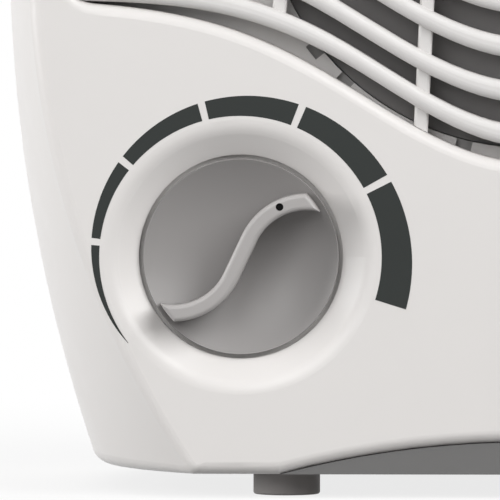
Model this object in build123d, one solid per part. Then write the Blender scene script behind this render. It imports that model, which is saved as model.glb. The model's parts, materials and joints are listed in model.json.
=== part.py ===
"""A compact ceramic fan heater with two rotary controls.

Millimetres. The origin is on the surface that the heater stands on, under the middle of it.
+Z is up and the warm air leaves through the front, which faces -Y. The housing is a front and a
rear shell that meet at an upright parting plane. Everything else hangs on those two shells.
"""
from build123d import *
from math import atan, cos, degrees, exp, radians, sin, sqrt, tan
import os

# ---- housing -------------------------------------------------------------------------------
OVERALL_DEPTH = 128.0          # from the front of the knob grips to the back of the inlet grille
HANDLE_PROUD = 4.0             # the knob grips stand this far in front of the housing
INLET_PROUD = 2.0              # the inlet grille stands this far behind the housing
FRONT_SHELL_DEPTH = 46.0       # front face to parting plane
WALL = 2.2
FOOT_HEIGHT = 5.0              # the flat base is this far above the ground
WIDEST_Z = 115.0               # height at which the barrel-shaped sides are widest
CROWN_RADIUS = 260.0           # the gently arched top
FRONT_HALF_WIDTH = 104.0
FRONT_BASE_HALF_WIDTH = 69.5
FRONT_TOP_Z = 232.0
FRONT_TOP_CORNER = 40.0
PARTING_HALF_WIDTH = 110.5
PARTING_BASE_HALF_WIDTH = 92.0
PARTING_TOP_Z = 243.0
PARTING_TOP_CORNER = 46.0
REAR_HALF_WIDTH = 99.0
REAR_BASE_HALF_WIDTH = 82.0
REAR_TOP_Z = 230.0
REAR_TOP_CORNER = 44.0
BASE_CORNER = 4.0              # corner between side and base, front half
REAR_BASE_CORNER = 14.0        # the same corner at the rear face
FRONT_EDGE = 2.6               # rounding round the front face
REAR_EDGE = 8.0                # rounding round the rear face
PARTING_GAP = 0.5              # shadow line between the shells
TONGUE_REACH = 3.0             # the rear shell's tongue reaches this far into the front shell
TONGUE_THICKNESS = 1.2
TONGUE_CLEARANCE = 0.2
CHIN_HALF_WIDTH = 52.0         # arched recess under the front face
CHIN_RISE = 6.8
CHIN_DEPTH = 6.0
CHIN_PANEL_SETBACK = 1.4       # the dark panel in the arch lies this far behind the front face
CHIN_PANEL_FIT = 0.05          # gap between the panel and the arch
CHIN_PEG_RADIUS = 1.2
CHIN_PEG_OFFSET = 24.0
POCKET_WIDTH = 84.0            # finger pocket at the top of the rear face
POCKET_HEIGHT = 20.0
POCKET_DEPTH = 20.0
POCKET_Z = 205.0
POCKET_CORNER = 8.0
POCKET_EDGE = 2.0

# ---- outlet grille -------------------------------------------------------------------------
RIM_WIDTH = 7.0                # flat border between the front face's edge and the opening
RIM_ROLL = 2.4                 # rounding of the opening's edge
OPENING_CORNER = 7.0
COLLAR_WALL = 1.8              # return flange round the opening, inside the shell
COLLAR_DEPTH = 9.0
WAVE_LEVEL = 103.9             # height at which the opening's wavy lower rim runs out flat
WAVE_DIP = 34.0                # how far the rim drops in the middle
WAVE_SPREAD = 33.6             # sideways scale of the dip
LOW_LOUVRE_RISE = 2.1          # the same for the lowest louvre: its level above the rim's
LOW_LOUVRE_DIP = 30.6
LOW_LOUVRE_SPREAD = 29.6
LOUVRE_RISE = 14.5             # rim to the middle of the next louvre, which has the rim's wave
LOUVRE_PITCH = 9.25
LOUVRE_THICKNESS = 4.3
LOUVRE_DEPTH = 9.0
LOUVRE_NOSE = 1.65             # rounding of a louvre's front edges
STRUT_WIDTH = 3.0
STRUT_SETBACK = 2.0            # struts lie this far behind the louvre noses
STRUT_DEPTH = 6.0
STRUT_EDGE = 0.7
GRILLE_CLEARANCE = 0.1         # round the grille, in the opening
STRUT_OFFSETS = (21.6, 52.4, 81.0)   # from the middle, at the height below
STRUT_OFFSET_Z = 100.0
STRUT_FOCUS_Z = 545.0          # the struts fan out from a point far above

# ---- air path ------------------------------------------------------------------------------
FAN_Z = 129.0                  # height of the fan axis
BAFFLE_THICKNESS = 1.6
BAFFLE_HOLE = 56.2             # radius of the baffle's round opening, and bore of the air duct
BAFFLE_LAP = 6.0               # the plate reaches this far past the outlet opening
NOTCH_ANGLES = (14.0, 42.5, 51.5)   # directions of the notches, from straight up and down
NOTCH_WIDTH = 3.4
NOTCH_REACH = 2.3              # the notches reach this far out of the opening
DUCT_WALL = 2.7
DUCT_LEDGE = 2.2               # inward step that the heater frame seats on
EAR_RADIUS = 70.0              # the duct and the motor mount are screwed down on this circle
EAR_THICKNESS = 3.0
POST_RADIUS = 4.0
SCREW_RADIUS = 1.5
SCREW_HEAD_RADIUS = 3.0
SCREW_HEAD_HEIGHT = 2.0
SCREW_CLEARANCE = 0.2
SCREW_BITE = 12.0              # length of screw in its post
SCREW_TIP_SPARE = 2.0          # hole left past the tip of a screw in a control's post

# ---- fan and motor -------------------------------------------------------------------------
FAN_TIP_GAP = 3.0
FAN_BLADES = 7
FAN_HUB_RADIUS = 14.0
FAN_LENGTH = 17.0
FAN_TO_MOUNT = 7.0             # impeller to motor mount
HUB_WALL = 3.0
BLADE_THICKNESS = 1.6
ROOT_CHORD = 19.0
ROOT_PITCH = 52.0
TIP_CHORD = 30.0
TIP_PITCH = 29.0
SHAFT_RADIUS = 2.0
SHAFT_CLEARANCE = 0.03
SHAFT_END = 1.0                # the shaft's ends stand out this far
MOUNT_THICKNESS = 2.0
MOUNT_ARM = 12.0
BRACKET_THICKNESS = 2.0
BEARING_RADIUS = 4.5
BEARING_LENGTH = 6.0
BEARING_SEAT_WALL = 2.0
STATOR_WIDTH = 50.0
STATOR_DEPTH = 16.0
STATOR_ABOVE = 18.0            # laminations above the fan axis
STATOR_BELOW = 40.0            # laminations below the fan axis
ROTOR_RADIUS = 10.6
ROTOR_GAP = 0.5
COIL_WINDOW_TOP = 14.0         # window for the coil, below the fan axis
COIL_WINDOW_HEIGHT = 13.0
COIL_LENGTH = 26.0
COIL_BUILD = 5.5               # thickness of the winding
COIL_SPARE = 1.0               # the winding is this much shorter than its window
MOTOR_BOLT_OFFSET = 20.0
MOTOR_BOLT_RADIUS = 1.5

# ---- heating element -----------------------------------------------------------------------
HEATER_FRAME_CLEARANCE = 0.2
HEATER_FRAME_DEPTH = 19.0
HEATER_WIDTH = 78.0
HEATER_HEIGHT = 40.0
STRIP_COUNT = 4
STRIP_THICKNESS = 2.4
ELEMENT_DEPTH = 14.0
FIN_PITCH = 3.0
FIN_THICKNESS = 0.5
TERMINAL_WIDTH = 6.0
TERMINAL_THICKNESS = 0.8
TERMINAL_LENGTH = 7.0
CUTOUT_RADIUS = 8.0
CUTOUT_HEIGHT = 6.0
CUTOUT_TO_FAN = 8.0
SAFETY_OFFSET = 41.0           # cut-out and fuse, above and below the fan axis
FUSE_RADIUS = 2.0
FUSE_LENGTH = 12.0

# ---- controls ------------------------------------------------------------------------------
KNOB_OFFSET = 60.2             # from the middle of the heater
KNOB_Z = 50.3
KNOB_RADIUS = 20.4
KNOB_GAP = 0.9                 # ring between knob and housing
KNOB_FLANGE = 2.0              # thickness of the knob's outer edge, which lies over a ledge
KNOB_STEP = 1.9                # behind that edge the knob is this much smaller in radius
KNOB_SETBACK = 2.9             # knob rim behind the front face
KNOB_SKIRT = 11.0
KNOB_RIM = 0.1
KNOB_PLATE = 2.6
BOWL_DEPTH = 6.5
DISH_RADIUS = 27.0             # where the dish's cone would meet the front face
DISH_SLOPE = 35.0              # degrees
DISH_ROUND = 5.4
DISH_BOSS = 30.6
GRIP_RUN = 8.75                # straight middle of the S-shaped grip
GRIP_ANGLE = 64.7              # its direction, from +X
GRIP_BEND = 13.3               # radius of the two bends
GRIP_TURN = 86.0               # degrees that each bend turns
GRIP_BAR = 3.4
GRIP_TRIM = 19.1               # the grip's ends are trimmed on this radius
GRIP_ROUND = 0.9
POINTER_RADIUS = 0.8
POINTER_DEPTH = 0.8
POINTER_DISTANCE = 13.4
POINTER_ANGLE = 52.0           # where the thermostat knob's pointer dot rests, from +X
MODE_POINTER_ANGLE = 157.5     # the same for the mode knob, which rests at off
SPINDLE_RADIUS = 3.0
SPINDLE_CLEARANCE = 0.05
SPINDLE_LENGTH = 26.0
KNOB_HUB_WALL = 2.5
KNOB_HUB_GAP = 0.8             # knob hub to bush
BUSH_WALL = 2.2
BUSH_LENGTH = 3.5
CONTROL_PLATE = 1.2
CONTROL_PLATE_HEIGHT = 20.0
CONTROL_POST_OFFSET = 25.5     # posts left and right of the spindle
CONTROL_POST_LENGTH = 13.0
THERMOSTAT_SIZE = (30.0, 24.0)
THERMOSTAT_DEPTH = 14.0
BIMETAL_SIZE = (34.0, 7.0)
BIMETAL_THICKNESS = 0.8
SWITCH_RADIUS = 15.0
SWITCH_DEPTH = 15.0
SWITCH_TERMINALS = 4
SWITCH_TERMINAL_CIRCLE = 10.0
BLADE_WIDTH = 4.8
LAMP_RADIUS = 3.5
LAMP_Z = 46.0
LAMP_PROUD = 1.0
LAMP_FLANGE = 1.2
LAMP_FACE = 1.0                # the lamp starts this far behind the front face
NEON_RADIUS = 2.2
NEON_LENGTH = 12.0

# ---- base, tip-over cut-out and mains entry --------------------------------------------------
FOOT_RADIUS = 7.0
FOOT_OFFSET_X = 51.0
FOOT_OFFSET_Y = 42.0
FOOT_STEM = 3.0
FOOT_BARB = 0.8
FOOT_EDGE = 0.5
PLUNGER_RADIUS = 3.0
PLUNGER_FLANGE = 4.4
PLUNGER_DISC = 1.5             # thickness of that flange
PLUNGER_STEM = 1.5
PLUNGER_SPARE = 1.0            # space beyond the travel, and stem above the switch
PLUNGER_TRAVEL = 4.0
PLUNGER_CLEARANCE = 0.3
PLUNGER_Y = 18.0
TIP_SWITCH_SIZE = (18.0, 16.0, 22.0)
TIP_SWITCH_BORE = 5.0
TIP_SWITCH_ROOF = 4.0
SPRING_RADIUS = 3.2
SPRING_WIRE = 0.35
SPRING_TURNS = 5
GLAND_X = 60.0
GLAND_Z = 27.0
GLAND_BORE = 3.6
GLAND_WALL = 2.6
GLAND_FLANGE = 2.2             # flange beyond the gland's barrel
GLAND_LENGTH = 16.0
GLAND_NUT_LENGTH = 4.0
TERMINAL_BLOCK_SIZE = (34.0, 16.0, 14.0)
TERMINAL_BLOCK_X = 0.0
TERMINAL_BLOCK_Y = 42.0
TERMINAL_WAYS = 3
HOUSING_SCREWS = ((30.0, 24.0), (82.0, 80.0))   # X and Z, on both sides of the middle
HOUSING_SCREW_RADIUS = 1.75
HOUSING_HEAD_RADIUS = 3.4
HOUSING_SCREW_LENGTH = 22.0
HOUSING_BOSS_WALL = 2.0
HOUSING_SEAT = 4.0             # plastic under a housing screw's head

# ---- inlet grille --------------------------------------------------------------------------
INLET_RADIUS = 54.0
INLET_CLEARANCE = 0.15
INLET_FLANGE = 3.0
INLET_RIM = 3.2
INLET_RINGS = 6
INLET_BAR = 2.2
INLET_SPOKES = 8
INLET_CAP = 9.0

OVERCUT = 1.0                  # how far a cut starts in front of, or runs past, what it opens

# ---- planes that follow from the sizes above -------------------------------------------------
FRONT_Y = -OVERALL_DEPTH / 2 + HANDLE_PROUD
REAR_Y = OVERALL_DEPTH / 2 - INLET_PROUD
PARTING_Y = FRONT_Y + FRONT_SHELL_DEPTH
BASE_Z = FOOT_HEIGHT
COLLAR_Y = FRONT_Y + COLLAR_DEPTH                 # back of the collar, front of the baffle
DUCT_FRONT_Y = COLLAR_Y + BAFFLE_THICKNESS
HEATER_BACK_Y = DUCT_FRONT_Y + HEATER_FRAME_DEPTH
FAN_FRONT_Y = HEATER_BACK_Y + CUTOUT_HEIGHT + CUTOUT_TO_FAN
FAN_BACK_Y = FAN_FRONT_Y + FAN_LENGTH
MOUNT_Y = FAN_BACK_Y + FAN_TO_MOUNT               # back of the duct, front of the motor mount
POST_Y = MOUNT_Y + MOUNT_THICKNESS
STATOR_Y = POST_Y + BRACKET_THICKNESS
STATOR_BACK_Y = STATOR_Y + STATOR_DEPTH
GRIP_Y = FRONT_Y - HANDLE_PROUD                   # front of the knobs' grips
KNOB_RIM_Y = FRONT_Y + KNOB_SETBACK
BOWL_Y = KNOB_RIM_Y + BOWL_DEPTH
DISH_DEPTH = (DISH_RADIUS - KNOB_RADIUS - KNOB_GAP) * tan(radians(DISH_SLOPE))
LEDGE_Y = KNOB_RIM_Y + KNOB_FLANGE + KNOB_GAP
DISH_BACK_Y = LEDGE_Y + WALL
CONTROL_PLATE_Y = DISH_BACK_Y + CONTROL_POST_LENGTH
HUB_BACK_Y = CONTROL_PLATE_Y - BUSH_LENGTH - KNOB_HUB_GAP
INSIDE_BASE_Z = BASE_Z + WALL
TOP = PARTING_TOP_Z + 10.0                        # a height above everything


# ---- helpers -------------------------------------------------------------------------------
def upright(y):
    """The plane at depth y whose own X is +X and whose own Y is up."""
    return Plane.XZ.offset(-y)


def slab(sketch, y_from, y_to):
    """A sketch drawn as seen from the front, as a solid between two depths."""
    return extrude(upright(y_to) * sketch, y_to - y_from)


def rod(radius, y_from, y_to, x=0.0, z=0.0):
    """A round bar along Y."""
    return slab(Pos(x, z) * Circle(radius), y_from, y_to)


def tube(outer, inner, y_from, y_to, x=0.0, z=0.0):
    """A round tube along Y."""
    return slab(Pos(x, z) * (Circle(outer) - Circle(inner)), y_from, y_to)


def turned(profile, x=0.0, z=0.0):
    """A profile of (radius, y), turned about the Y direction through (x, z)."""
    return Pos(x, 0, z) * revolve(make_face(profile), Axis.Y, 360)


def single(shape):
    """The one solid of a shape that is known to have one."""
    return shape.solids().sort_by(SortBy.VOLUME)[-1]


def group(shapes):
    """Separate solids kept in one node."""
    return Compound(children=[solid for shape in shapes for solid in shape.solids()])


def both_sides(places):
    """Each (x, z) place, and its mirror image in the middle plane."""
    return [(side * x, z) for side in (-1, 1) for x, z in places]


# ---- housing shape -------------------------------------------------------------------------
def arc(centre, radius, start, end):
    """The short arc round a centre from start to end."""
    return ThreePointArc(start, centre + ((start + end) / 2 - centre).normalized() * radius, end)


def barrel(half_width, base_half_width, top_z, top_corner, base_corner, base_z):
    """The housing's outline at one depth: flat base, bowed sides, arched top, round corners."""
    flare = half_width - base_half_width
    side_radius = (flare**2 + (WIDEST_Z - BASE_Z) ** 2) / (2 * flare)
    side = Vector(half_width - side_radius, WIDEST_Z)
    crown = Vector(0, top_z - CROWN_RADIUS)
    heel_z = base_z + base_corner
    heel_x = side.X + sqrt((side_radius - base_corner) ** 2 - (WIDEST_Z - heel_z) ** 2)
    heel = Vector(heel_x, heel_z)

    # The shoulder's centre is as far inside the side's arc as it is inside the crown's.
    span = (crown - side).length
    to_side = side_radius - top_corner
    to_crown = CROWN_RADIUS - top_corner
    along = (to_side**2 - to_crown**2 + span**2) / (2 * span)
    across = sqrt(to_side**2 - along**2)
    line = (crown - side).normalized()
    shoulder = side + line * along + Vector(-line.Y, line.X) * across

    sole = Vector(heel_x, base_z)
    heel_end = side + (heel - side).normalized() * side_radius
    shoulder_start = side + (shoulder - side).normalized() * side_radius
    shoulder_end = crown + (shoulder - crown).normalized() * CROWN_RADIUS
    right = [
        arc(heel, base_corner, sole, heel_end),
        arc(side, side_radius, heel_end, shoulder_start),
        arc(shoulder, top_corner, shoulder_start, shoulder_end),
    ]
    left = [mirror(edge, about=Plane.YZ) for edge in right]
    top = arc(crown, CROWN_RADIUS, shoulder_end, Vector(-shoulder_end.X, shoulder_end.Y))
    return make_face([Line((-sole.X, sole.Y), sole), *right, top, *reversed(left)])


def section(y, inset=0.0):
    """The housing's outline at depth y, drawn in by inset on every side.

    Both halves leave the parting plane square to it and pull in towards their far face.
    """
    front = (FRONT_HALF_WIDTH, FRONT_BASE_HALF_WIDTH, FRONT_TOP_Z, FRONT_TOP_CORNER, BASE_CORNER)
    widest = (PARTING_HALF_WIDTH, PARTING_BASE_HALF_WIDTH, PARTING_TOP_Z, PARTING_TOP_CORNER,
              BASE_CORNER)
    rear = (REAR_HALF_WIDTH, REAR_BASE_HALF_WIDTH, REAR_TOP_Z, REAR_TOP_CORNER, REAR_BASE_CORNER)
    far, far_y = (front, FRONT_Y) if y < PARTING_Y else (rear, REAR_Y)
    share = ((y - PARTING_Y) / (far_y - PARTING_Y)) ** 2
    wide, base, top, corner, foot = (a + (b - a) * share for a, b in zip(widest, far))
    return barrel(wide - inset, base - inset, top - inset, corner - inset, foot, BASE_Z + inset)


def housing_block(y_from, y_to, inset=0.0, steps=2):
    """The solid inside the housing's outline between two depths."""
    depths = [y_from + (y_to - y_from) * i / steps for i in range(steps + 1)]
    return loft([upright(y) * section(y, inset) for y in depths])


def wave(x, level, dip=WAVE_DIP, spread=WAVE_SPREAD):
    """Height at x of the wavy line that runs out flat at the given level."""
    return level - dip * exp(-(x**2) / (2 * spread**2))


def wave_band(level_below, level_above, *shape):
    """The area between two copies of a wave, one above the other."""
    stations = [FRONT_HALF_WIDTH * i / 5 for i in range(-5, 6)]
    below = Spline(*[(x, wave(x, level_below, *shape)) for x in stations])
    above = Spline(*[(x, wave(x, level_above, *shape)) for x in stations])
    return make_face([below, above, Line(below @ 0, above @ 0), Line(below @ 1, above @ 1)])


def opening(grow=0.0):
    """The outlet opening: a wavy lower rim, and a border of even width everywhere else."""
    border = section(FRONT_Y, RIM_WIDTH - grow) & wave_band(WAVE_LEVEL - grow, TOP + WAVE_DIP)
    corners = border.vertices().group_by(Axis.Y)[0]
    return fillet(corners, OPENING_CORNER + grow)


OPENING = opening()
COLLAR = opening(COLLAR_WALL)


def chin_arch(grow=0.0, below=0.0):
    """The arch under the front face, and what lies under it down to a depth below the base."""
    start = (-CHIN_HALF_WIDTH - grow, BASE_Z)
    crown = (0, BASE_Z + CHIN_RISE + grow)
    end = (CHIN_HALF_WIDTH + grow, BASE_Z)
    arch = ThreePointArc(start, crown, end)
    if below == 0:
        return make_face([arch, Line(end, start)])
    sill = Polyline(end, (end[0], BASE_Z - below), (start[0], BASE_Z - below), start)
    return make_face([arch, sill])


def chin(grow=0.0):
    """The arched recess under the front face, or the block of its walls."""
    return slab(chin_arch(grow, FOOT_HEIGHT), FRONT_Y - OVERCUT, FRONT_Y + CHIN_DEPTH + grow)


def chin_pegs(clearance=0.0):
    """The chin panel's pegs, or the holes for them."""
    back = FRONT_Y + CHIN_DEPTH
    return [rod(CHIN_PEG_RADIUS + clearance, back - OVERCUT, back + WALL + clearance, x, CHIN_PEG_Z)
            for x in (-CHIN_PEG_OFFSET, CHIN_PEG_OFFSET)]


def dish(x):
    """What is cut away for a knob: a stepped round hole in a shallow cone with a rounded edge."""
    slope = radians(DISH_SLOPE)
    run = DISH_ROUND * tan(slope / 2)
    hole = KNOB_RADIUS + KNOB_GAP
    well = hole - KNOB_STEP
    lip = (DISH_RADIUS + run, FRONT_Y)
    cone = (DISH_RADIUS - run * cos(slope), FRONT_Y + run * sin(slope))
    outline = [
        TangentArc(lip, cone, tangent=(-1, 0)),
        Polyline(cone, (hole, FRONT_Y + DISH_DEPTH), (hole, LEDGE_Y), (well, LEDGE_Y),
                 (well, CONTROL_PLATE_Y), (0, CONTROL_PLATE_Y), (0, FRONT_Y - OVERCUT),
                 (lip[0], FRONT_Y - OVERCUT), lip),
    ]
    return turned(outline, x, KNOB_Z)


KNOB_PLACES = ((-KNOB_OFFSET, KNOB_Z), (KNOB_OFFSET, KNOB_Z))
CONTROL_POSTS = [(x + side * CONTROL_POST_OFFSET, z) for x, z in KNOB_PLACES for side in (-1, 1)]
SCREW_PLACES = both_sides(HOUSING_SCREWS)
CHIN_PEG_Z = BASE_Z + CHIN_RISE / 3
EAR_REACH = EAR_RADIUS * cos(radians(45))
EAR_PLACES = [(x * EAR_REACH, FAN_Z + z * EAR_REACH) for x in (-1, 1) for z in (-1, 1)]
FRONT_FEET = ((-FOOT_OFFSET_X, -FOOT_OFFSET_Y), (FOOT_OFFSET_X, -FOOT_OFFSET_Y))
REAR_FEET = ((-FOOT_OFFSET_X, FOOT_OFFSET_Y), (FOOT_OFFSET_X, FOOT_OFFSET_Y))


def foot_holes(places):
    """Holes in the base for the feet's stems."""
    return [Pos(x, y, BASE_Z) * Cylinder(FOOT_STEM, 4 * WALL) for x, y in places]


def front_shell():
    """The front half of the housing, with the opening, the dishes and the arched chin."""
    back = PARTING_Y - PARTING_GAP / 2
    block = housing_block(FRONT_Y, back) - chin()
    block = fillet(block.faces().sort_by(Axis.Y)[0].outer_wire().edges(), FRONT_EDGE)
    block -= slab(OPENING, FRONT_Y - OVERCUT, back + OVERCUT)
    rim = block.faces().sort_by(Axis.Y)[0].inner_wires()[0]
    block = fillet(rim.edges(), RIM_ROLL)

    kept = [slab(COLLAR, FRONT_Y, COLLAR_Y), chin(WALL)]
    kept += [rod(DISH_BOSS, FRONT_Y, DISH_BACK_Y, x, z) for x, z in KNOB_PLACES]
    kept += [rod(POST_RADIUS, FRONT_Y, CONTROL_PLATE_Y, x, z) for x, z in CONTROL_POSTS]
    kept += [rod(HOUSING_SCREW_RADIUS + HOUSING_BOSS_WALL, FRONT_Y, back, x, z)
             for x, z in SCREW_PLACES]
    cavity = housing_block(FRONT_Y + WALL, back + OVERCUT, WALL)
    shell = block - cavity.cut(*kept)

    drilled = [dish(x) for x, z in KNOB_PLACES]
    drilled += [rod(SCREW_RADIUS, CONTROL_PLATE_Y - CONTROL_POST_LENGTH, back, x, z)
                for x, z in CONTROL_POSTS]
    drilled += [rod(HOUSING_SCREW_RADIUS, back - HOUSING_SCREW_LENGTH, back + OVERCUT, x, z)
                for x, z in SCREW_PLACES]
    drilled += foot_holes(FRONT_FEET) + chin_pegs(CHIN_PANEL_FIT)
    drilled.append(rod(LAMP_RADIUS, FRONT_Y - OVERCUT, FRONT_Y + 2 * WALL, 0, LAMP_Z))
    return single(shell.cut(*drilled))


def chin_panel():
    """Dark panel that fills the arch under the front face, on two pegs."""
    plate = slab(chin_arch(-CHIN_PANEL_FIT), FRONT_Y + CHIN_PANEL_SETBACK, FRONT_Y + CHIN_DEPTH)
    return single(plate.fuse(*chin_pegs()))


def tongue():
    """The rear shell's tongue: a thin wall that reaches into the front shell."""
    clear = WALL + TONGUE_CLEARANCE
    inner = section(PARTING_Y, clear + TONGUE_THICKNESS)
    tip = section(PARTING_Y, clear) - inner
    root = section(PARTING_Y, WALL / 2) - inner
    start = PARTING_Y + PARTING_GAP / 2
    return slab(tip, PARTING_Y - TONGUE_REACH, start) + slab(root, start, start + TONGUE_REACH)


def finger_pocket(grow=0.0):
    """The finger pocket in the rear face, or the block of its walls."""
    mouth = Pos(0, POCKET_Z) * RectangleRounded(
        POCKET_WIDTH + 2 * grow, POCKET_HEIGHT + 2 * grow, POCKET_CORNER + grow)
    return slab(mouth, REAR_Y - POCKET_DEPTH - grow, REAR_Y + OVERCUT)


def rear_shell():
    """The rear half of the housing, with the inlet opening, finger pocket and screw wells."""
    start = PARTING_Y + PARTING_GAP / 2
    block = housing_block(start, REAR_Y)
    block = fillet(block.faces().sort_by(Axis.Y)[-1].edges(), REAR_EDGE)
    block -= finger_pocket()
    mouth = block.faces().sort_by(Axis.Y)[-1].inner_wires()[0]
    block = fillet(mouth.edges(), POCKET_EDGE)

    well = HOUSING_HEAD_RADIUS + HOUSING_BOSS_WALL
    kept = [finger_pocket(WALL)]
    kept += [rod(well, start, REAR_Y, x, z) for x, z in SCREW_PLACES]
    kept += [rod(POST_RADIUS, POST_Y, REAR_Y, x, z) for x, z in EAR_PLACES]
    cavity = housing_block(start - OVERCUT, REAR_Y - WALL, WALL)
    shell = block - cavity.cut(*kept) + tongue()

    drilled = [rod(HOUSING_SCREW_RADIUS + SCREW_CLEARANCE, start - OVERCUT, REAR_Y, x, z)
               for x, z in SCREW_PLACES]
    drilled += [rod(HOUSING_HEAD_RADIUS + SCREW_CLEARANCE, start + HOUSING_SEAT, REAR_Y + OVERCUT, x, z)
                for x, z in SCREW_PLACES]
    drilled += [rod(SCREW_RADIUS, POST_Y - OVERCUT, POST_Y + SCREW_BITE, x, z) for x, z in EAR_PLACES]
    drilled += foot_holes(REAR_FEET)
    drilled.append(rod(INLET_RADIUS, REAR_Y - 2 * WALL, REAR_Y + OVERCUT, 0, FAN_Z))
    drilled.append(rod(GLAND_BORE + GLAND_WALL, REAR_Y - 2 * WALL, REAR_Y + OVERCUT, GLAND_X, GLAND_Z))
    drilled.append(Pos(0, PLUNGER_Y, BASE_Z) * Cylinder(PLUNGER_RADIUS + PLUNGER_CLEARANCE, 4 * WALL))
    return single(shell.cut(*drilled))


def outlet_grille():
    """The louvres and the struts that join them, as one moulding that fills the opening.

    The inner struts reach the rim below, and the outer ones end at the lowest louvre.
    """
    tray = slab(opening(-GRILLE_CLEARANCE), FRONT_Y - OVERCUT, COLLAR_Y)
    low = WAVE_LEVEL + LOW_LOUVRE_RISE
    low_shape = (LOW_LOUVRE_DIP, LOW_LOUVRE_SPREAD)
    above = slab(wave_band(low, TOP + LOW_LOUVRE_DIP, *low_shape), FRONT_Y - OVERCUT, COLLAR_Y)
    bars = [louvre(low, *low_shape)]
    level = WAVE_LEVEL + LOUVRE_RISE
    while wave(0, level) + LOUVRE_THICKNESS < FRONT_TOP_Z - RIM_WIDTH:
        bars.append(louvre(level))
        level += LOUVRE_PITCH
    inner, *outer = STRUT_OFFSETS
    bars += [strut(side * inner) for side in (-1, 1)]
    bars += [strut(side * place) & above for place in outer for side in (-1, 1)]
    return single(bars[0].fuse(*bars[1:]) & tray)


def louvre(level, *shape):
    """One louvre, a wavy bar with a rounded nose."""
    half = LOUVRE_THICKNESS / 2
    bar = slab(wave_band(level - half, level + half, *shape), FRONT_Y, FRONT_Y + LOUVRE_DEPTH)
    nose = bar.faces().sort_by(Axis.Y)[0].edges().sort_by(SortBy.LENGTH)[-2:]
    return fillet(nose, LOUVRE_NOSE)


def strut(place):
    """One strut, on the line from the far focus through its place."""
    slope = place / (STRUT_FOCUS_Z - STRUT_OFFSET_Z)
    low = place + slope * (STRUT_OFFSET_Z - BASE_Z)
    high = place + slope * (STRUT_OFFSET_Z - TOP)
    half = STRUT_WIDTH / 2
    outline = Polyline((low - half, BASE_Z), (low + half, BASE_Z), (high + half, TOP),
                       (high - half, TOP), close=True)
    front = FRONT_Y + STRUT_SETBACK
    bar = slab(make_face(outline), front, front + STRUT_DEPTH)
    edges = bar.faces().sort_by(Axis.Y)[0].edges().sort_by(SortBy.LENGTH)[-2:]
    return fillet(edges, STRUT_EDGE)


def inlet_grille():
    """Round guard in the rear face: a flanged rim, rings, spokes and a middle cap."""
    rear = OVERALL_DEPTH / 2
    inside = REAR_Y - WALL
    rim = INLET_RADIUS - INLET_CLEARANCE
    bars = [tube(rim, rim - INLET_RIM, inside - WALL, rear, 0, FAN_Z),
            tube(INLET_RADIUS + INLET_FLANGE, rim - INLET_RIM, inside - WALL, inside, 0, FAN_Z),
            rod(INLET_CAP, rear - INLET_RIM, rear, 0, FAN_Z)]
    pitch = (rim - INLET_RIM - INLET_CAP) / (INLET_RINGS + 1)
    for ring in range(1, INLET_RINGS + 1):
        radius = INLET_CAP + ring * pitch
        bar = Pos(radius, rear - INLET_RIM / 2) * RectangleRounded(INLET_BAR, INLET_RIM, INLET_BAR / 3)
        bars.append(Pos(0, 0, FAN_Z) * revolve(bar, Axis.Y, 360))
    spoke_length = rim - INLET_RIM / 2
    for i in range(INLET_SPOKES):
        spoke = Rot(0, 0, 360 * i / INLET_SPOKES) * Pos(spoke_length / 2, 0) * Rectangle(
            spoke_length, INLET_BAR)
        bars.append(slab(Pos(0, FAN_Z) * spoke, rear - INLET_RIM, rear - INLET_BAR / 3))
    return single(bars[0].fuse(*bars[1:]))


# ---- air path ------------------------------------------------------------------------------
def baffle_plate():
    """Plate behind the louvres with a notched round opening."""
    plate = opening(BAFFLE_LAP) - Pos(0, FAN_Z) * Circle(BAFFLE_HOLE)
    notch = Pos(0, BAFFLE_HOLE) * Rectangle(NOTCH_WIDTH, 2 * NOTCH_REACH)
    for start in (0, 180):
        for angle in NOTCH_ANGLES:
            for side in (-1, 1):
                plate -= Pos(0, FAN_Z) * Rot(0, 0, start + side * angle) * notch
    return single(slab(plate, COLLAR_Y, DUCT_FRONT_Y))


def air_duct():
    """Round duct with an inner ledge for the heater and four ears to screw it down by."""
    outer = BAFFLE_HOLE + DUCT_WALL
    duct = rod(outer, DUCT_FRONT_Y, MOUNT_Y, 0, FAN_Z)
    for x, z in EAR_PLACES:
        duct += ear(x, z, MOUNT_Y - EAR_THICKNESS, MOUNT_Y)
    duct -= rod(BAFFLE_HOLE, DUCT_FRONT_Y - OVERCUT, MOUNT_Y + OVERCUT, 0, FAN_Z)
    duct += tube(outer, BAFFLE_HOLE - DUCT_LEDGE, HEATER_BACK_Y, HEATER_BACK_Y + DUCT_WALL, 0, FAN_Z)
    return single(duct.cut(*screw_holes(EAR_PLACES, MOUNT_Y - EAR_THICKNESS, MOUNT_Y)))


def ear(x, z, y_from, y_to):
    """A rounded lug from the fan axis out to a screw place."""
    middle = (0, FAN_Z)
    arm = SlotCenterToCenter(EAR_RADIUS, 2 * POST_RADIUS)
    angle = degrees(atan((z - FAN_Z) / x))
    return slab(Pos((x + middle[0]) / 2, (z + middle[1]) / 2) * Rot(0, 0, angle) * arm, y_from, y_to)


def screw_holes(places, y_from, y_to):
    """Clearance holes for small screws."""
    return [rod(SCREW_RADIUS + SCREW_CLEARANCE, y_from - OVERCUT, y_to + OVERCUT, x, z) for x, z in places]


def screw(radius, head_radius, head_y, tip_y, x, z):
    """A pan-head screw along Y whose head sits on head_y, on the side away from the tip."""
    direction = 1 if tip_y > head_y else -1
    top_y = head_y - direction * SCREW_HEAD_HEIGHT
    shank = rod(radius, min(head_y, tip_y), max(head_y, tip_y), x, z)
    head = rod(head_radius, min(head_y, top_y), max(head_y, top_y), x, z)
    slot = Pos(x, top_y, z) * Box(2 * head_radius, SCREW_HEAD_HEIGHT, head_radius / 4)
    return shank + head - slot


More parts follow.
